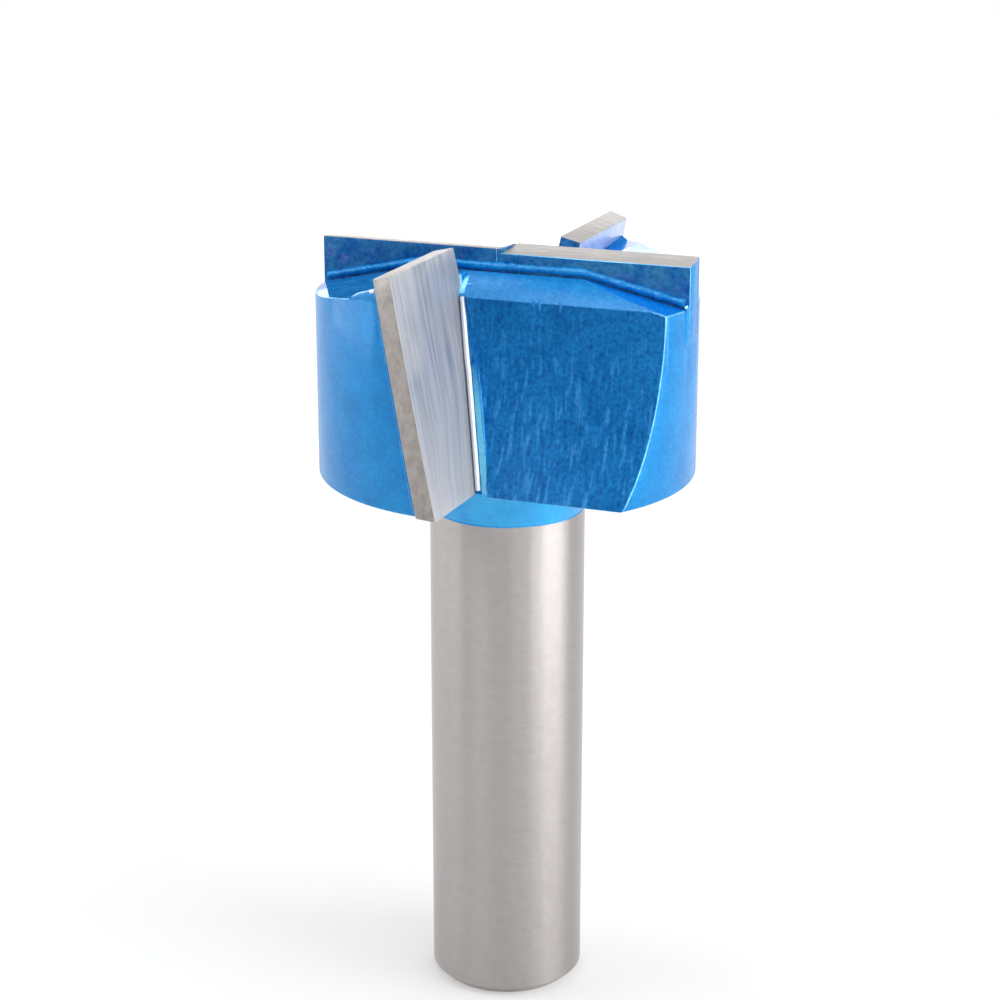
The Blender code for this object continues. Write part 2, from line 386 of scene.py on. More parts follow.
# What the ground faces share: the finer lines beside the main ones, and stains
grinding = {"wander": 0.3, "finer": 4, "low": 0.3, "high": 0.7, "stainScale": 190.0,
            "stainRange": (0.46, 0.66), "roughSwing": 0.06}

# Bare carbide. The rake face has lines that run the length of the tip, read from the piece's own map.
carbideLooks = {
    "carbideRake": {"dark": (0.205, 0.235, 0.295), "light": (0.510, 0.530, 0.570), "stretch": (820, 34, 1),
                    "low": 0.34, "high": 0.62, "fineShare": 0.42, "rough": 0.46, "metal": 0.20,
                    "wander": 0.12, "specular": 0.3, "bump": 0.003 * mm,
                    "paleTone": (0.600, 0.580, 0.565), "stainShare": 0.5,
                    "paleShare": 0.62, "paleFrom": 56 * mm, "paleFull": 47 * mm},
    "carbideFlank": {"dark": (0.270, 0.245, 0.232), "light": (0.370, 0.345, 0.330),
                     "stretch": (1400, 1400, 900), "low": 0.36, "high": 0.64, "fineShare": 0.4,
                     "rough": 0.42, "metal": 0.80, "specular": 0.5, "bump": 0.003 * mm},
    "carbideTop": {"dark": (0.335, 0.318, 0.308), "light": (0.430, 0.412, 0.400), "stretch": (500, 4200, 900),
                   "low": 0.36, "high": 0.64, "fineShare": 0.3, "rough": 0.46, "metal": 0.70,
                   "specular": 0.5, "bump": 0.002 * mm},
}


def makeCarbide(name):
    look = carbideLooks[name]
    material, tree, shader = newMaterial(name, look)
    coordinates = addNode(tree, "ShaderNodeTexCoord")
    where = coordinates.outputs["UV" if name == "carbideRake" else "Object"]
    wander = look.get("wander", grinding["wander"])
    lines = placed(tree, toolMarks, where, Stretch=look["stretch"], Low=look["low"], High=look["high"],
                   Wander=wander)
    finer = tuple(grinding["finer"] * v for v in look["stretch"])
    fine = placed(tree, toolMarks, where, Stretch=finer, Low=grinding["low"], High=grinding["high"],
                  Wander=wander)
    marks = blended(tree, look["fineShare"], lines.outputs["Marks"], fine.outputs["Marks"])
    colour = mixColours(tree, marks, look["dark"], look["light"])
    if "paleTone" in look:
        onPiece = coordinates.outputs["Object"]
        clouds = placed(tree, sprayGrain, onPiece, **{"Cloud Scale": grinding["stainScale"]})
        warm = ranged(tree, clouds.outputs["Cloud"], 0.0, look["stainShare"], *grinding["stainRange"])
        # The face is paler towards its foot
        height = heightOf(tree, onPiece)
        paler = ranged(tree, height, 0.0, look["paleShare"], look["paleFrom"], look["paleFull"])
        colour = mixColours(tree, together(tree, "MAXIMUM", warm, paler), colour, look["paleTone"])
    tree.links.new(colour, shader.inputs["Base Color"])
    roughened(tree, shader, lines.outputs["Marks"], look["rough"], -grinding["roughSwing"])
    bumped(tree, shader, fine.outputs["Marks"], look["bump"])
    return material


groundSteel = {"dark": (0.355, 0.332, 0.322), "light": (0.425, 0.400, 0.390), "rough": 0.33, "metal": 1.0,
               "anisotropic": 0.9, "turn": 0.25, "specular": 0.5, "ringStretch": (120, 120, 7000),
               "ringShare": 0.2, "stainScale": 1400.0, "roughSwing": 0.04, "bump": 0.0002 * mm}


def makeSteel():
    look = groundSteel
    material, tree, shader = newMaterial("groundSteel", look)
    where = addNode(tree, "ShaderNodeTexCoord").outputs["Object"]
    rings = placed(tree, toolMarks, where, Stretch=look["ringStretch"], Low=grinding["low"],
                   High=grinding["high"], Wander=0.0)
    stains = placed(tree, sprayGrain, where, **{"Cloud Scale": look["stainScale"]})
    marks = blended(tree, look["ringShare"], stains.outputs["Cloud"], rings.outputs["Marks"])
    tree.links.new(mixColours(tree, marks, look["dark"], look["light"]), shader.inputs["Base Color"])
    roughened(tree, shader, stains.outputs["Cloud"], look["rough"], look["roughSwing"])
    bumped(tree, shader, rings.outputs["Marks"], look["bump"])
    return material


silverBraze = {"dull": (0.78, 0.80, 0.86), "bright": (0.94, 0.96, 1.0), "scale": 1500.0, "rough": 0.32,
               "metal": 0.35, "specular": 0.6, "bump": 0.01 * mm}


def makeSilver():
    material, tree, shader = newMaterial("brazeSilver", silverBraze)
    where = addNode(tree, "ShaderNodeTexCoord").outputs["Object"]
    grain = placed(tree, sprayGrain, where, **{"Cloud Scale": silverBraze["scale"]})
    tree.links.new(mixColours(tree, grain.outputs["Cloud"], silverBraze["dull"], silverBraze["bright"]),
                   shader.inputs["Base Color"])
    bumped(tree, shader, grain.outputs["Cloud"], silverBraze["bump"])
    return material


materials = {name: makePaint(name) for name in paintLooks}
materials.update({name: makeCarbide(name) for name in carbideLooks})
materials["paintOnCarbide"] = makeTipPaint()
materials["groundSteel"] = makeSteel()
materials["brazeSilver"] = makeSilver()
print("materials made:", len(materials))


# Mesh helpers
def meshObject(name, bm, names, recalculate=True):
    if recalculate:
        bmesh.ops.recalc_face_normals(bm, faces=bm.faces)
    mesh = bpy.data.meshes.new(name)
    bm.to_mesh(mesh)
    bm.free()
    for label in names:
        mesh.materials.append(materials[label])
    piece = bpy.data.objects.new(name, mesh)
    bpy.context.scene.collection.objects.link(piece)
    return piece


def smooth(piece, degrees):
    piece.data.shade_smooth()
    piece.data.set_sharp_from_angle(angle=math.radians(degrees))


def rides(piece):
    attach(piece, "root")


# Rounds the outer edges that are sharper than an angle and gives the new faces one finish
def softenEdges(bm, edge, finish):
    limit = math.radians(edge["degrees"])
    sharp = [e for e in bm.edges if e.is_manifold and e.is_convex and e.calc_face_angle() > limit]
    bmesh.ops.bevel(bm, geom=sharp, offset=edge["width"], segments=edge["segments"], profile=0.5,
                    affect="EDGES", clamp_overlap=True, material=finish)


# Points closer than this are one point
weld = 0.001 * mm


# A copy of a CAD node with its loose triangles joined and its flat faces made whole
def copyNode(node):
    bm = bmesh.new()
    bm.from_mesh(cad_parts[node].data)
    bmesh.ops.remove_doubles(bm, verts=bm.verts, dist=weld)
    bmesh.ops.dissolve_limit(bm, angle_limit=math.radians(1), verts=bm.verts, edges=bm.edges)
    return bm


def cutAcross(bm, height):
    bmesh.ops.bisect_plane(bm, geom=bm.verts[:] + bm.edges[:] + bm.faces[:], dist=weld,
                           plane_co=(0.0, 0.0, height), plane_no=(0.0, 0.0, 1.0))


# Prism between two copies of an outline, each placed by its own function
def prism(name, outline, placeStart, placeEnd, label, turn=sameWay):
    bm = bmesh.new()
    start = [bm.verts.new(placeStart(*point)) for point in outline]
    end = [bm.verts.new(placeEnd(*point)) for point in outline]
    bm.faces.new(start)
    bm.faces.new(reversed(end))
    for i in range(len(outline)):
        after = (i + 1) % len(outline)
        bm.faces.new((start[i], start[after], end[after], end[i]))
    bmesh.ops.transform(bm, matrix=turn, verts=bm.verts)
    return meshObject(name, bm, [label])


# The body: every face gets the finish that its surface has, with a painted highlight on the groove's lower
# floor and a painted reflection on the crown near the left end tip
bodyFinishes = ["groundSteel", "paintTurned", "paintMilled", "paintLand", "paintCrown", "paintStripHighlight",
                "paintNeck", "paintEdge", "paintPlateReflection"]
bodyEdges = {"width": 0.10 * mm, "segments": 2, "degrees": 32, "smooth": 28}

# The groove's floor has a painted highlight below this height. Near the left end tip the crown is painted
# darker and matt, a painted reflection of the end tip's blue face.
grooveHighlightBelow = 52.5 * mm
plateReflectionPatch = {"corner": Vector((-15.3, -1.3, 0.0)) * mm, "rim": Vector((-10.7, -10.9, 0.0)) * mm}

# What tells the body's faces apart: two margins, and how their normals lean
faceTest = {"line": 0.01 * mm, "margin": 0.05 * mm, "level": 0.85, "land": -0.3, "gullet": -0.6}


def bodyFinish(centre, normal):
    if centre.z < bit["paintLine"] - faceTest["line"]:
        return "groundSteel"
    if centre.y > 0:
        centre, normal = halfTurn @ centre, halfTurn @ normal
    margin = faceTest["margin"]
    if centre.z < bit["headFoot"] - margin:
        return "paintNeck"
    if centre.z < bit["headFoot"] + margin:
        return "paintTurned"
    if normal.z > faceTest["level"]:
        return "paintLand" if normal.y < faceTest["land"] else "paintCrown"
    insideHead = math.hypot(centre.x, centre.y) < bit["headRadius"] - margin
    if normal.y < faceTest["gullet"] and insideHead:
        inGroove = aheadOfRake(centre) < grooveWidth(centre.z) - margin
        return "paintStripHighlight" if inGroove and centre.z < grooveHighlightBelow else "paintMilled"
    return "paintTurned"


def leftCrown(face):
    centre = face.calc_center_median()
    onCrown = face.normal.z > faceTest["level"] and face.normal.y > faceTest["land"]
    return onCrown and centre.x < 0 and centre.y < 0


def makeBody():
    bm = copyNode("body")
    cutAcross(bm, bit["paintLine"])
    for face in bm.faces:
        finish = bodyFinish(face.calc_center_median(), face.normal)
        face.material_index = bodyFinishes.index(finish)
    # The crown's painted reflection of the plate ends at a line from the plate's corner to the rim
    line = plateReflectionPatch["rim"] - plateReflectionPatch["corner"]
    across = line.cross(Vector((0.0, 0.0, 1.0)))
    faces = [face for face in bm.faces if leftCrown(face)]
    edges = list({edge for face in faces for edge in face.edges})
    bmesh.ops.bisect_plane(bm, geom=faces + edges + list({v for edge in edges for v in edge.verts}),
                           dist=weld, plane_co=plateReflectionPatch["corner"], plane_no=across)
    for face in bm.faces:
        inside = (face.calc_center_median() - plateReflectionPatch["corner"]).dot(across) * across.x > 0
        if leftCrown(face) and inside:
            face.material_index = bodyFinishes.index("paintPlateReflection")
    edgeFinish = bodyFinishes.index("paintEdge")
    softenEdges(bm, bodyEdges, edgeFinish)
    for face in bm.faces:
        if face.material_index == edgeFinish and face.calc_center_median().z < bit["paintLine"]:
            face.material_index = bodyFinishes.index("groundSteel")
    body = meshObject("painted_body", bm, bodyFinishes, recalculate=False)
    smooth(body, bodyEdges["smooth"])
    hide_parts("body")
    rides(body)


# The side tips are ground on the rake face, the flank and the top, and painted elsewhere
sideTipFinishes = ["carbideRake", "carbideFlank", "carbideTop", "paintBackReflection", "paintOnCarbide"]
tipEdges = {"width": 0.05 * mm, "segments": 2, "degrees": 40, "smooth": 30}

# How squarely a tip's face has to look in a direction to count as facing it
tipFacing = {"forward": 0.8, "up": 0.7, "outward": 0.6, "trailing": 0.5, "end": 0.7}


def sideTipFinish(normal, turn):
    facing = turn @ normal
    if facing.dot(forward) > tipFacing["forward"]:
        return "carbideRake"
    if facing.z > tipFacing["up"]:
        return "carbideTop"
    if facing.dot(outward) > tipFacing["outward"]:
        return "carbideFlank"
    return "paintBackReflection" if facing.dot(forward) < -tipFacing["forward"] else "paintOnCarbide"


# The map runs across the tip from its inner edge to its cutting edge, and up the tip
def mapRake(piece, turn):
    layer = piece.data.uv_layers.new(name="rakeMap")
    meanWidth = 10 * mm
    for loop in piece.data.loops:
        point = turn @ piece.data.vertices[loop.vertex_index].co
        inner = seatFloor(point.z) + bit["gap"]
        outer = math.sqrt(sideSeat["cuttingRadius"] ** 2 - rakeLine(point.z) ** 2)
        share = (point.dot(outward) - inner) / (outer - inner)
        layer.data[loop.index].uv = (share * meanWidth, point.z)


def makeSideTip(node, name, turn):
    bm = copyNode(node)
    for face in bm.faces:
        face.material_index = sideTipFinishes.index(sideTipFinish(face.normal, turn))
    softenEdges(bm, tipEdges, sideTipFinishes.index("carbideRake"))
    tip = meshObject(name, bm, sideTipFinishes, recalculate=False)
    mapRake(tip, turn)
    smooth(tip, tipEdges["smooth"])
    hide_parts(node)
    rides(tip)


# An end tip is ground on top and in a narrow strip down its trailing face
endTipFinishes = ["carbideTop", "paintOnCarbide", "paintTurned", "paintEdge"]
bareFrom = endPlate["top"] - endPlate["bareStrip"]


def endTipFinish(centre, normal):
    trailing = centre.x * normal.y < 0 and abs(normal.y) > tipFacing["trailing"]
    if normal.z > tipFacing["up"] or (trailing and centre.z > bareFrom):
        return "carbideTop"
    return "paintTurned" if abs(normal.x) > tipFacing["end"] else "paintOnCarbide"


def makeEndTip(node, name):
    bm = copyNode(node)
    cutAcross(bm, bareFrom)
    for face in bm.faces:
        face.material_index = endTipFinishes.index(endTipFinish(face.calc_center_median(), face.normal))
    edgeFinish = endTipFinishes.index("paintEdge")
    softenEdges(bm, tipEdges, edgeFinish)
    for face in bm.faces:
        if face.material_index == edgeFinish and face.calc_center_median().z > bareFrom:
            face.material_index = endTipFinishes.index("carbideTop")
    tip = meshObject(name, bm, endTipFinishes, recalculate=False)
    smooth(tip, tipEdges["smooth"])
    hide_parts(node)
    rides(tip)


makeBody()
makeSideTip("side_tip_near", "side_tip_near_ground", sameWay)
makeSideTip("side_tip_far", "side_tip_far_ground", halfTurn)
makeEndTip("end_tip_left", "end_tip_left_dressed")
makeEndTip("end_tip_right", "end_tip_right_dressed")
print("body and tips dressed")

# Brazing alloy fills the gap round every tip. It laps a little into both sides, so that no slit shows.
braze = {"lap": 0.02 * mm, "recess": 0.06 * mm, "slotRecess": 0.22 * mm, "overHead": 0.008 * mm,
         "jointRecess": 0.08 * mm, "slotEdge": 0.11 * mm, "beyond": 1 * mm, "rows": 16}


def fillSideSeat(name, turn):
    low = bit["headFoot"] + braze["recess"]
    high = bit["crown"] - braze["recess"]
    heights = steps(low, high, braze["rows"])
    backStart = tipBack - bit["gap"] - braze["lap"]
    backEnd = tipBack + braze["lap"]
    outline = [(seatFloor(z) - braze["lap"], z) for z in heights]
    outline += [(headSurface(z, backStart) - braze["recess"], z) for z in reversed(heights)]
    back = prism(name + "_back", outline, lambda d, z: besideRake(d, z, backStart),
                 lambda d, z: besideRake(d, z, backEnd), "paintTurned", turn)
    outline = [(seatFloor(z) - braze["lap"], z) for z in heights]
    outline += [(seatFloor(z) + bit["gap"] + braze["lap"], z) for z in reversed(heights)]
    inner = prism(name + "_inner", outline, lambda d, z: besideRake(d, z, backStart),
                  lambda d, z: besideRake(d, z, -braze["recess"]), "brazeSilver", turn)
    for piece in (back, inner):
        rides(piece)


# A point of the slot's filling, held inside the head's round side
def inSlot(x, y, z):
    reach = math.sqrt((bit["headRadius"] + braze["overHead"]) ** 2 - y ** 2)
    return Vector((max(-reach, min(reach, x)), y, z))


def fillSlot():
    half, gap, lap = endPlate["half"], bit["gap"], braze["lap"]
    reach = bit["headRadius"] + braze["beyond"]
    flat = bit["crownHalfFlat"]
    low = endPlate["foot"] - gap - braze["slotEdge"]
    outline = [(x, crownAt(x) - braze["slotRecess"]) for x in (-reach, -flat, flat, reach)]
    outline += [(reach, low), (-reach, low)]
    for side, turn in bothSides:
        wall = prism("slot_braze_" + side, outline,
                     lambda x, z: inSlot(x, -half - gap - braze["slotEdge"], z),
                     lambda x, z: inSlot(x, -half + lap, z), "paintTurned", turn)
        rides(wall)
    bedTop = endPlate["foot"] + lap
    bed = prism("slot_braze_bed", [(-reach, low), (reach, low), (reach, bedTop), (-reach, bedTop)],
                lambda x, z: inSlot(x, -half - lap, z), lambda x, z: inSlot(x, half + lap, z), "paintTurned")
    rides(bed)
    slant = half * math.tan(endPlate["slant"])
    thick = gap / 2 / math.cos(endPlate["slant"]) + lap
    joint = prism("end_tip_joint", [(-slant - thick, -half + lap), (-slant + thick, -half + lap),
                                    (slant + thick, half - lap), (slant - thick, half - lap)],
                  lambda x, y: Vector((x, y, endPlate["foot"])),
                  lambda x, y: Vector((x, y, endPlate["top"] - braze["jointRecess"])), "paintOnCarbide")
    rides(joint)


# Brazing alloy stands behind each side tip in a mound that falls away along the rim and inwards
mounds = {
    "near": {"height": 0.88 * mm, "length": 3.2 * mm, "width": 6.0 * mm},
    "far": {"height": 0.28 * mm, "length": 0.6 * mm, "width": 4.0 * mm},
}
moundShape = {"fall": 1.5, "outerStep": 0.01 * mm, "sunk": 0.30 * mm, "tilt": 0.01 * mm, "rows": 15,
              "columns": 13, "lump": 0.10, "waves": (9.0, 5.0, 7.0, 1.0), "upright": 0.5, "smooth": 35,
              "edgeAbove": 0.10 * mm, "edge": {"width": 0.09 * mm, "segments": 2, "degrees": 50}}


def makeMound(side, turn):
    bm = bmesh.new()
    mound = mounds[side]
    rows, columns = moundShape["rows"], moundShape["columns"]
    alongWave, inwardWave, crossWave, crossStart = moundShape["waves"]
    tops, feet = [], []
    for i in range(rows):
        along = i / (rows - 1)
        ahead = tipBack + braze["lap"] - along * mound["length"]
        rim = headSurface(bit["crown"], ahead) - moundShape["outerStep"]
        top, foot = [], []
        for j in range(columns):
            inwards = j / (columns - 1)
            point = besideRake(rim - inwards * mound["width"], bit["crown"], ahead)
            wave = math.sin(alongWave * along + inwardWave * inwards)
            wave *= math.sin(crossWave * inwards + crossStart)
            rise = mound["height"] * (1.0 - along ** moundShape["fall"]) * (1.0 - eased(inwards))
            rise *= 1.0 + moundShape["lump"] * wave
            ground = crownAt(point.x)
            drop = moundShape["tilt"] * (along + inwards)
            top.append(bm.verts.new((point.x, point.y, ground + rise - drop)))
            foot.append(bm.verts.new((point.x, point.y, ground - moundShape["sunk"])))
        tops.append(top)
        feet.append(foot)
    for grid, flip in ((tops, False), (feet, True)):
        for i in range(rows - 1):
            for j in range(columns - 1):
                corners = [grid[i][j], grid[i + 1][j], grid[i + 1][j + 1], grid[i][j + 1]]
                bm.faces.new(reversed(corners) if flip else corners)
    border = [(i, 0) for i in range(rows)] + [(rows - 1, j) for j in range(1, columns)]
    border += [(i, columns - 1) for i in range(rows - 2, -1, -1)]
    border += [(0, j) for j in range(columns - 2, 0, -1)]
    for (i, j), (k, m) in zip(border, border[1:] + border[:1]):
        bm.faces.new((tops[i][j], feet[i][j], feet[k][m], tops[k][m]))
    bmesh.ops.transform(bm, matrix=turn, verts=bm.verts)
    bmesh.ops.recalc_face_normals(bm, faces=bm.faces)
    # The outer end is part of the head's round side, and so has its finish
    for face in bm.faces:
        face.material_index = 0 if abs(face.normal.z) < moundShape["upright"] else 1
    softenEdges(bm, moundShape["edge"], 2)
    # Where the mound runs out, its edge is painted like the rest
    for face in bm.faces:
        centre = face.calc_center_median()
        if face.material_index == 2 and centre.z < crownAt(centre.x) + moundShape["edgeAbove"]:
            face.material_index = 1
    piece = meshObject("side_tip_mound_" + side, bm, ["paintTurned", "paintPlateReflection", "paintEdge"])
    smooth(piece, moundShape["smooth"])
    rides(piece)


# A toe of alloy closes the top of the groove beside each rake face; its bright paint is a painted highlight.
# Its corners are in millimetres: across the bit, out from its middle plane, and above the land.
toe = {"corners": [(-2.38, 2.15, 0.02), (-2.72, 2.30, 0.02), (-2.75, 3.30, 0.05), (-2.55, 4.05, 0.02),
                   (-2.15, 3.90, 0.02), (-2.52, 2.90, 0.14), (-2.45, 3.50, 0.12)],
       "depth": 0.25, "smooth": 60}


def makeToe(side, turn):
    bm = bmesh.new()
    for x, distance, rise in toe["corners"]:
        for height in (rise, -toe["depth"]):
            bm.verts.new((x * mm, -distance * mm, landAt(distance * mm) + height * mm))
    hull = bmesh.ops.convex_hull(bm, input=bm.verts)
    bmesh.ops.delete(bm, geom=[v for v in hull["geom_interior"] if isinstance(v, bmesh.types.BMVert)],
                     context="VERTS")
    bmesh.ops.transform(bm, matrix=turn, verts=bm.verts)
    piece = meshObject("rake_toe_" + side, bm, ["paintHighlight"])
    smooth(piece, toe["smooth"])
    rides(piece)


# Alloy runs from the head's round side onto the part of each end tip that stands out of the slot
slotFillet = {"inner": (15.20, 1.62), "outer": (15.37, 1.24), "root": (15.10, 1.20), "low": 56.95 * mm,
              "high": 59.62 * mm}


def makeSlotFillet(side, turn):
    def placedAt(height):
        return lambda x, distance: Vector((x * mm, -distance * mm, height))

    outline = [slotFillet["inner"], slotFillet["outer"], slotFillet["root"]]
    fillet = prism("slot_fillet_" + side, outline, placedAt(slotFillet["low"]), placedAt(slotFillet["high"]),
                   "paintTurned", turn)
    rides(fillet)


# Alloy and paint fill the groove beside the rake face: flush above, and a little sunk below, where the part
# next to the gullet's wall has a painted highlight
grooveFill = {"split": 54.8 * mm, "foot": 45.04 * mm, "top": 59.80 * mm, "highlightFrom": 0.58 * mm,
              "inset": {"upper": 0.45 * mm, "lower": 0.55 * mm}, "wallSlope": math.radians(15.0),
              "wallTop": 59.9 * mm, "offTip": 0.005 * mm, "underLand": 0.06 * mm, "landNormal": 0.6,
              "rows": 12}


# How far out the gullet's wall lies at a height, measured like the seat's floor
def wallAt(z, ahead):
    depth = bit["gulletDepth"] + (grooveFill["wallTop"] - z) * math.tan(grooveFill["wallSlope"])
    return (depth - math.sin(sideSeat["twist"]) * (rakeLine(z) + ahead)) / math.cos(sideSeat["twist"])


def makeGrooveFill(side, turn):
    def touchingTip(d, z):
        return besideRake(d, z, grooveFill["offTip"])

    def halfway(d, z):
        return besideRake(d, z, grooveFill["highlightFrom"])

    def touchingWall(d, z):
        return besideRake(d, z, grooveWidth(z) + braze["lap"])

    foot, split, top = grooveFill["foot"], grooveFill["split"], grooveFill["top"]
    parts = (("dark", "lower", foot, split, touchingTip, halfway, "paintMilled"),
             ("bright", "lower", foot, split, halfway, touchingWall, "paintStripHighlight"),
             ("upper", "upper", split, top, touchingTip, touchingWall, "paintMilled"))
    for part, level, low, high, placeStart, placeEnd, label in parts:
        inset = grooveFill["inset"][level]
        outline = [(wallAt(z, grooveWidth(z) / 2) - inset, z) for z in steps(low, high, grooveFill["rows"])]
        innerTop = landAt(seatFloor(high)) - grooveFill["underLand"] if part == "upper" else high
        outline += [(seatFloor(z) - braze["lap"], z) for z in steps(innerTop, low, grooveFill["rows"])]
        fill = prism("groove_fill_" + part + "_" + side, outline, placeStart, placeEnd, label, turn)
        if part == "upper":
            # Its upper end lies in the land, and so has the land's paint
            fill.data.materials.append(materials["paintLand"])
            for face in fill.data.polygons:
                face.material_index = 1 if face.normal.z > grooveFill["landNormal"] else 0
        rides(fill)


for side, turn in bothSides:
    fillSideSeat("side_braze_" + side, turn)
    makeMound(side, turn)
    makeToe(side, turn)
    makeSlotFillet(side, turn)
    makeGrooveFill(side, turn)
fillSlot()
print("braze filled")


# Geometry Nodes: an uneven bead that follows a path, and drops that sit on points
def newGrowth(name, first, values):
    tree = bpy.data.node_groups.new(name, "GeometryNodeTree")
    tree.interface.new_socket(first, in_out="INPUT", socket_type="NodeSocketGeometry")
    for label, value in values.items():
        socket = tree.interface.new_socket(label, in_out="INPUT", socket_type="NodeSocketFloat")
        socket.default_value = value
    tree.interface.new_socket("Finish", in_out="INPUT", socket_type="NodeSocketMaterial")
    tree.interface.new_socket("Result", in_out="OUTPUT", socket_type="NodeSocketGeometry")
    return tree, addNode(tree, "NodeGroupInput"), addNode(tree, "NodeGroupOutput")


def endGrowth(tree, start, end, geometry):
    rounded = addNode(tree, "GeometryNodeSetShadeSmooth")
    whole = addNode(tree, "GeometryNodeRealizeInstances")
    finished = addNode(tree, "GeometryNodeSetMaterial")
    tree.links.new(geometry, rounded.inputs["Geometry"])
    tree.links.new(rounded.outputs["Geometry"], whole.inputs["Geometry"])
    tree.links.new(whole.outputs["Geometry"], finished.inputs["Geometry"])
    tree.links.new(start.outputs["Finish"], finished.inputs["Material"])
    tree.links.new(finished.outputs["Geometry"], end.inputs["Result"])


def makeBeadTree():
    tree, start, end = newGrowth("beadAlongPath", "Path", {
        "Radius": 0.2 * mm, "Unevenness": 0.3, "Lump Scale": 1200.0, "Spacing": 0.08 * mm, "Seed": 1.0,
        "Dimple": 0.0, "Dimple Scale": 3000.0})
    curve = addNode(tree, "GeometryNodeMeshToCurve")
    spaced = addNode(tree, "GeometryNodeResampleCurve", mode="LENGTH")
    profile = addNode(tree, "GeometryNodeCurvePrimitiveCircle")
    profile.inputs["Resolution"].default_value = 12
    swept = addNode(tree, "GeometryNodeCurveToMesh")
    swept.inputs["Fill Caps"].default_value = True
    noise = addNode(tree, "ShaderNodeTexNoise", noise_dimensions="4D")
    fine = addNode(tree, "ShaderNodeTexNoise", noise_dimensions="4D")
    centred = addNode(tree, "ShaderNodeMath", operation="SUBTRACT")
    centred.inputs[1].default_value = 0.5
    swell = addNode(tree, "ShaderNodeMath", operation="MULTIPLY_ADD")
    swell.inputs[2].default_value = 1.0
    depth = addNode(tree, "ShaderNodeMath", operation="SUBTRACT")
    depth.inputs[1].default_value = 0.5
    push = addNode(tree, "ShaderNodeMath", operation="MULTIPLY")
    normal = addNode(tree, "GeometryNodeInputNormal")
    away = addNode(tree, "ShaderNodeVectorMath", operation="SCALE")
    dimpled = addNode(tree, "GeometryNodeSetPosition")
    link = tree.links.new
    link(start.outputs["Path"], curve.inputs["Mesh"])
    link(curve.outputs["Curve"], spaced.inputs["Curve"])
    link(start.outputs["Spacing"], spaced.inputs["Length"])
    link(start.outputs["Lump Scale"], noise.inputs["Scale"])
    link(start.outputs["Seed"], noise.inputs["W"])
    link(noise.outputs["Fac"], centred.inputs[0])
    link(centred.outputs[0], swell.inputs[0])
    link(start.outputs["Unevenness"], swell.inputs[1])
    link(start.outputs["Radius"], profile.inputs["Radius"])
    link(spaced.outputs["Curve"], swept.inputs["Curve"])
    link(profile.outputs["Curve"], swept.inputs["Profile Curve"])
    link(swell.outputs[0], swept.inputs["Scale"])
    link(start.outputs["Dimple Scale"], fine.inputs["Scale"])
    link(start.outputs["Seed"], fine.inputs["W"])
    link(fine.outputs["Fac"], depth.inputs[0])
    link(depth.outputs[0], push.inputs[0])
    link(start.outputs["Dimple"], push.inputs[1])
    link(normal.outputs["Normal"], away.inputs[0])
    link(push.outputs[0], away.inputs["Scale"])
    link(swept.outputs["Mesh"], dimpled.inputs["Geometry"])
    link(away.outputs["Vector"], dimpled.inputs["Offset"])
    endGrowth(tree, start, end, dimpled.outputs["Geometry"])
    return tree


def makeDropTree():
    tree, start, end = newGrowth("dropsOnPoints", "Points", {
        "Width": 0.3 * mm, "Depth": 0.15 * mm, "Shortest": 0.5 * mm, "Longest": 1.0 * mm, "Seed": 1.0})
    ball = addNode(tree, "GeometryNodeMeshIcoSphere")
    ball.inputs["Radius"].default_value = 0.5
    ball.inputs["Subdivisions"].default_value = 3
    length = addNode(tree, "FunctionNodeRandomValue", data_type="FLOAT")
    size = addNode(tree, "ShaderNodeCombineXYZ")
    spread = addNode(tree, "GeometryNodeInstanceOnPoints")
    link = tree.links.new
    floatSockets = [s for s in length.inputs if s.type == "VALUE" and s.enabled]
    link(start.outputs["Shortest"], floatSockets[0])
    link(start.outputs["Longest"], floatSockets[1])
    link(start.outputs["Seed"], length.inputs["Seed"])
    link(start.outputs["Width"], size.inputs["X"])
    link(start.outputs["Depth"], size.inputs["Y"])
    link(next(s for s in length.outputs if s.enabled), size.inputs["Z"])
    link(start.outputs["Points"], spread.inputs["Points"])
    link(ball.outputs["Mesh"], spread.inputs["Instance"])
    link(size.outputs["Vector"], spread.inputs["Scale"])
    endGrowth(tree, start, end, spread.outputs["Instances"])
    return tree


beadTree = makeBeadTree()
dropTree = makeDropTree()


def grow(name, tree, bm, values, label):
    seedMesh = bpy.data.meshes.new(name)
    bm.to_mesh(seedMesh)
    bm.free()
    piece = bpy.data.objects.new(name, seedMesh)
    bpy.context.scene.collection.objects.link(piece)
    modifier = piece.modifiers.new("grown", "NODES")
    modifier.node_group = tree
    sockets = {item.name: item.identifier for item in tree.interface.items_tree if item.in_out == "INPUT"}
    for key, value in values.items():
        modifier[sockets[key]] = value
    modifier[sockets["Finish"]] = materials[label]
    bpy.context.view_layer.update()
    evaluated = piece.evaluated_get(bpy.context.evaluated_depsgraph_get())
    piece.data = bpy.data.meshes.new_from_object(evaluated)
    piece.modifiers.clear()
    rides(piece)
    return piece


def beadValues(look, seed):
    return {"Radius": look["radius"], "Unevenness": look["unevenness"], "Lump Scale": look["lumpScale"],
            "Seed": seed, "Dimple": look.get("dimple", 0.0)}


def beadAlong(name, points, turn, look, label, seed):
    bm = bmesh.new()
    verts = [bm.verts.new(turn @ point) for point in points]
    for first, second in zip(verts, verts[1:]):
        bm.edges.new((first, second))
    return grow(name, beadTree, bm, beadValues(look, seed), label)


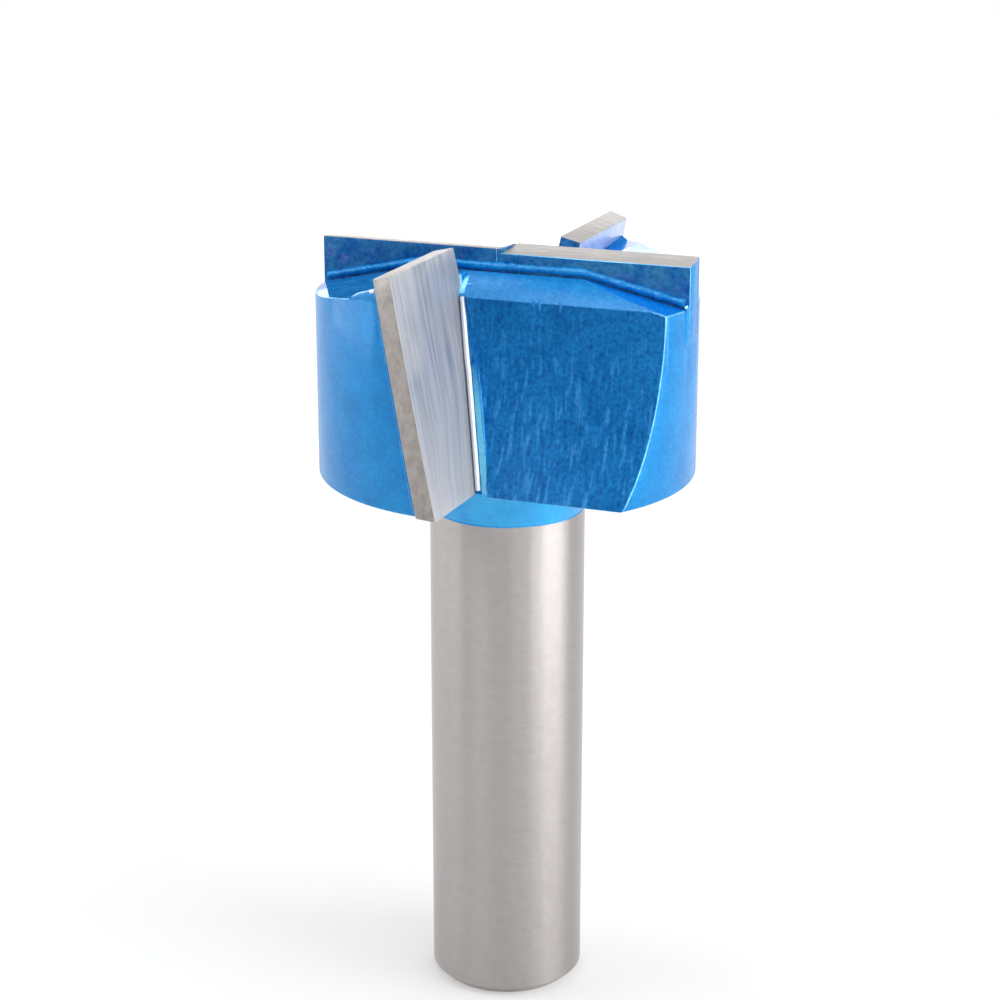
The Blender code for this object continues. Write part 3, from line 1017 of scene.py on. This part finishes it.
beads = {
    "endFoot": {"radius": 0.33 * mm, "unevenness": 0.9, "lumpScale": 900.0, "dimple": 0.22 * mm,
                "lift": 0.42 * mm, "sunk": 0.04 * mm, "short": 0.25 * mm},
    "sideBack": {"radius": 0.30 * mm, "unevenness": 0.9, "lumpScale": 1300.0, "dimple": 0.15 * mm,
                 "behind": 0.05 * mm, "start": 0.4 * mm, "short": 6.0 * mm, "lift": 0.02 * mm,
                 "endStart": 0.10 * mm, "endSunk": 0.06 * mm, "endBack": 0.1 * mm, "endFront": 0.35 * mm},
    "rakeInner": {"radius": 0.22 * mm, "unevenness": 0.35, "lumpScale": 500.0, "ahead": 0.28 * mm,
                  "aboveFoot": 0.3 * mm, "points": 30},
    "landEdge": {"radius": 0.07 * mm, "unevenness": 1.4, "lumpScale": 900.0, "dimple": 0.05 * mm,
                 "start": -1.5 * mm, "inside": 0.02 * mm, "sunk": 0.03 * mm},
    "paintLip": {"radius": 0.05 * mm, "unevenness": 0.6, "lumpScale": 700.0, "points": 96, "waves": 5,
                 "waveHeight": 0.02 * mm},
    "spill": {"radius": 0.15 * mm, "unevenness": 0.8, "lumpScale": 3000.0, "dimple": 0.14 * mm},
}


# The paths of the beads on the near side
def footLine(look):
    reach = bit["headRadius"] - look["short"]
    xs = [-reach, -bit["crownHalfFlat"], bit["crownHalfFlat"], reach]
    return [Vector((x, -endPlate["half"] + look["sunk"], crownAt(x) + look["lift"])) for x in xs]


def backLine(look):
    behind = tipBack - look["behind"]
    start = seatFloor(bit["crown"]) + look["start"]
    stop = headSurface(bit["crown"], behind) - look["short"]
    return [besideRake(d, bit["crown"] + look["lift"], behind) for d in (start, stop)]


def endLine(look):
    inner = seatFloor(bit["crown"]) + look["endStart"]
    aheads = (tipBack - look["behind"] - look["endBack"], -look["endFront"])
    return [besideRake(inner, bit["crown"] - look["endSunk"], ahead) for ahead in aheads]


def innerLine(look):
    line = []
    for z in steps(bit["headFoot"] + look["aboveFoot"], grooveFill["top"], look["points"]):
        inset = grooveFill["inset"]["lower" if z < grooveFill["split"] else "upper"]
        line.append(besideRake(wallAt(z, look["ahead"]) - inset, z, look["ahead"]))
    return line


def landLine(look):
    edge = bit["gulletDepth"]
    height = landAt(edge)
    stop = bit["crownHalfFlat"] + (bit["crown"] - height) / math.tan(bit["crownSlope"])
    return [Vector((x, -edge + look["inside"], height - look["sunk"])) for x in (look["start"], stop)]


# Each bead's path, look, finish, slot, and the seeds of its two sides
beadRuns = {
    "end_tip_fillet": (footLine, "endFoot", "paintTurned", "painted_steel_body", (3.0, 7.0)),
    "side_tip_fillet": (backLine, "sideBack", "paintTurned", "painted_steel_body", (11.0, 13.0)),
    "side_tip_end": (endLine, "sideBack", "paintTurned", "painted_steel_body", (37.0, 43.0)),
    "rake_braze": (innerLine, "rakeInner", "brazeSilver", "ground_carbide", (17.0, 19.0)),
    "land_lip": (landLine, "landEdge", "paintLand", "painted_steel_body", (29.0, 31.0)),
}


def makeBeads():
    for name, (path, kind, label, slot, seeds) in beadRuns.items():
        look = beads[kind]
        for (side, turn), seed in zip(bothSides, seeds):
            beadAlong(name + "_" + side, path(look), turn, look, label, seed)


# The paint ends on the shank in a thin raised lip
def makePaintLip():
    look = beads["paintLip"]
    count = look["points"]
    radius = bit["shankRadius"]
    bm = bmesh.new()
    verts = []
    for a in (math.tau * i / count for i in range(count)):
        height = bit["paintLine"] + look["waveHeight"] * math.sin(look["waves"] * a)
        verts.append(bm.verts.new((radius * math.cos(a), radius * math.sin(a), height)))
    for i in range(count):
        bm.edges.new((verts[i], verts[(i + 1) % count]))
    grow("paint_lip", beadTree, bm, beadValues(look, 23.0), "paintNeck")


# Runs of paint over the land's lower edge, on the near side
paintRuns = {"places": [(4.35, 59.72), (3.85, 59.88), (6.05, 59.80)], "width": 0.20 * mm, "depth": 0.12 * mm,
             "shortest": 0.5 * mm, "longest": 1.1 * mm, "seed": 4.0, "finish": "paintLand"}

# Specks of alloy that the brazing left behind the near tip and at the right end of the slot; the one at the
# slot has a painted highlight
spills = {
    "spill_rim": {"ends": [(-5.75, -14.12, 61.98), (-5.35, -14.22, 62.10)], "finish": "brazeSilver"},
    "spill_slot_top": {"ends": [(15.06, -1.56, 59.70), (15.24, -1.38, 59.76)], "finish": "paintHighlight"},
}


def makeDrops():
    bm = bmesh.new()
    for x, z in paintRuns["places"]:
        bm.verts.new((x * mm, -bit["gulletDepth"] - 0.02 * mm, z * mm))
    values = {"Width": paintRuns["width"], "Depth": paintRuns["depth"], "Shortest": paintRuns["shortest"],
              "Longest": paintRuns["longest"], "Seed": paintRuns["seed"]}
    grow("paint_runs", dropTree, bm, values, paintRuns["finish"])
    for name, spill in spills.items():
        path = [Vector(point) * mm for point in spill["ends"]]
        beadAlong(name, path, sameWay, beads["spill"], spill["finish"], 41.0)


makeBeads()
makePaintLip()
makeDrops()
print("beads and drops grown")

# The camera stands where the photograph was taken
cameraPlace = {"location": Vector((63.48, -173.35, 101.0)) * mm, "down": 0.309, "round": math.radians(20.3),
               "lens": 85.274, "sensor": 36.0, "nearest": 5 * mm, "farthest": 20.0}


def makeCamera():
    data = bpy.data.cameras.new("photoCamera")
    data.sensor_width = cameraPlace["sensor"]
    data.lens = cameraPlace["lens"]
    data.clip_start = cameraPlace["nearest"]
    data.clip_end = cameraPlace["farthest"]
    camera = bpy.data.objects.new("photoCamera", data)
    camera.location = cameraPlace["location"]
    camera.rotation_euler = (math.pi / 2 - cameraPlace["down"], 0.0, cameraPlace["round"])
    bpy.context.scene.collection.objects.link(camera)
    bpy.context.scene.camera = camera


# Lamps stand round the bit, at an azimuth counted from -Y towards +X and a height above the floor
lamps = {
    "softWindow": {"azimuth": 89, "distance": 0.26, "height": 0.09, "size": (0.175, 0.30), "power": 0.50},
    "frontSoft": {"azimuth": 45, "distance": 0.45, "height": 0.20, "size": (0.30, 0.30), "power": 0.32},
    "shankBand": {"azimuth": 87, "distance": 0.26, "height": 0.09, "size": (0.33, 0.30), "power": 0.78,
                  "glossOnly": True},
    "grooveGlint": {"azimuth": -24, "distance": 0.40, "height": 0.36, "size": (0.20, 0.28), "power": 0.70,
                    "glossOnly": True},
    "leftSoft": {"azimuth": -78, "distance": 0.45, "height": 0.16, "size": (0.50, 0.50), "power": 1.1},
    "topSoft": {"azimuth": 180, "distance": 0.05, "height": 0.44, "size": (0.34, 0.34), "power": 0.70},
    "backStrip": {"azimuth": 200, "distance": 0.45, "height": 0.14, "size": (0.60, 0.15), "power": 0.45},
}


# All lamps look at the foot of the head
def makeLamps():
    target = Vector((0.0, 0.0, bit["headFoot"]))
    for name, lamp in lamps.items():
        data = bpy.data.lights.new(name, "AREA")
        data.shape = "RECTANGLE"
        data.size, data.size_y = lamp["size"]
        data.energy = lamp["power"]
        light = bpy.data.objects.new(name, data)
        a = math.radians(lamp["azimuth"])
        x, y = math.sin(a) * lamp["distance"], -math.cos(a) * lamp["distance"]
        light.location = Vector((x, y, lamp["height"]))
        light.rotation_euler = (target - light.location).to_track_quat("-Z", "Y").to_euler()
        light.visible_camera = False
        light.visible_diffuse = not lamp.get("glossOnly", False)
        bpy.context.scene.collection.objects.link(light)


surroundings = {"soft": 0.36, "floorTone": 0.8, "floorRough": 0.9, "floorSize": 6.0, "nearGlow": 0.25,
                "farGlow": 0.68, "nearEnd": 0.06, "farStart": 0.60}


# The camera and reflections see white. Everything else is lit by a softer grey.
def seenDirectly(tree):
    path = addNode(tree, "ShaderNodeLightPath")
    first = together(tree, "MAXIMUM", path.outputs["Is Camera Ray"], path.outputs["Is Glossy Ray"])
    return together(tree, "MAXIMUM", first, path.outputs["Is Transmission Ray"])


def makeWorld():
    world = bpy.data.worlds.new("whiteRoom")
    world.use_nodes = True
    tree = world.node_tree
    background = tree.nodes["Background"]
    background.inputs["Color"].default_value = (1.0, 1.0, 1.0, 1.0)
    tree.links.new(ranged(tree, seenDirectly(tree), surroundings["soft"], 1.0), background.inputs["Strength"])
    bpy.context.scene.world = world


# The floor's own glow grows outwards as the lamps' light fades, so that it stays white all over
def makeFloor():
    half = surroundings["floorSize"] / 2
    bm = bmesh.new()
    corners = ((-half, -half), (half, -half), (half, half), (-half, half))
    bm.faces.new([bm.verts.new((x, y, 0.0)) for x, y in corners])
    mesh = bpy.data.meshes.new("floor")
    bm.to_mesh(mesh)
    bm.free()
    material = bpy.data.materials.new("paleFloor")
    material.use_nodes = True
    tree = material.node_tree
    shader = tree.nodes["Principled BSDF"]
    tone = surroundings["floorTone"]
    shader.inputs["Base Color"].default_value = (tone, tone, tone, 1.0)
    shader.inputs["Roughness"].default_value = surroundings["floorRough"]
    shader.inputs["Specular IOR Level"].default_value = 0.0
    shader.inputs["Emission Color"].default_value = (1.0, 1.0, 1.0, 1.0)
    where = addNode(tree, "ShaderNodeTexCoord").outputs["Object"]
    distance = addNode(tree, "ShaderNodeVectorMath", operation="LENGTH")
    tree.links.new(where, distance.inputs[0])
    glow = ranged(tree, distance.outputs["Value"], surroundings["nearGlow"], surroundings["farGlow"],
                  surroundings["nearEnd"], surroundings["farStart"])
    tree.links.new(together(tree, "MULTIPLY", seenDirectly(tree), glow), shader.inputs["Emission Strength"])
    mesh.materials.append(material)
    floor = bpy.data.objects.new("floor", mesh)
    bpy.context.scene.collection.objects.link(floor)


makeCamera()
makeLamps()
makeWorld()
makeFloor()
bpy.context.scene.view_settings.view_transform = "Standard"
print("studio set")
